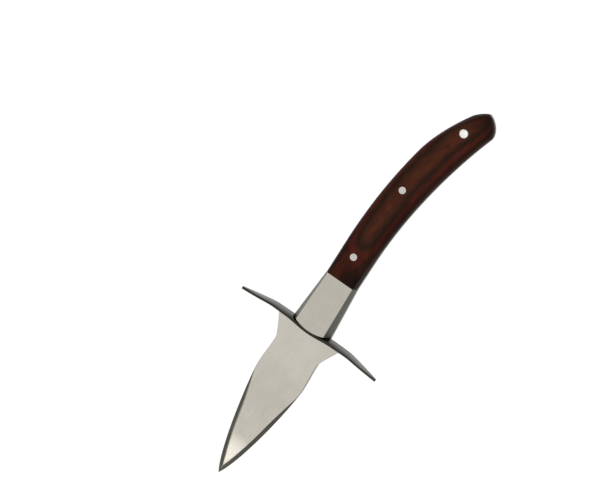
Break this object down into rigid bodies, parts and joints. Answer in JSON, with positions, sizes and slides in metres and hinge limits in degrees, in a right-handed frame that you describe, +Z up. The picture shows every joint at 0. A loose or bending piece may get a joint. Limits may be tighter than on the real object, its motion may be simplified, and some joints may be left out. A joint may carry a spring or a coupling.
{
  "type": "oyster knife",
  "caption": "Oyster knife with a short leaf-shaped blade on a full tang, an oval guard with bent arms, steel bolsters and curved wood scales with a lanyard hole.",
  "frame": {"origin": "middle of the knife's bounding box in X and Y, on the surface that the knife lies on", "axes": "+X along the knife towards the blade's tip, +Y across it towards the side that the handle curves to, +Z up, square to the blade's flat"},
  "size_m": [0.192, 0.069, 0.012],
  "materials": {
    "blade_steel": "satin stainless steel",
    "guard_steel": "satin stainless steel",
    "bolster_steel": "fine satin stainless steel",
    "scale_wood": "sanded and waxed laminated hardwood",
    "pin_steel": "bright nickel silver or steel"
  },
  "bodies": {
    "root": {"blade": "blade_steel", "guard": "guard_steel", "bolster_top": "bolster_steel", "bolster_bottom": "bolster_steel", "scale_top": "scale_wood", "scale_bottom": "scale_wood", "dowel_front": "pin_steel", "dowel_rear": "pin_steel", "pin_front": "pin_steel", "pin_middle": "pin_steel", "lanyard_tube": "pin_steel"}
  },
  "joints": []
}
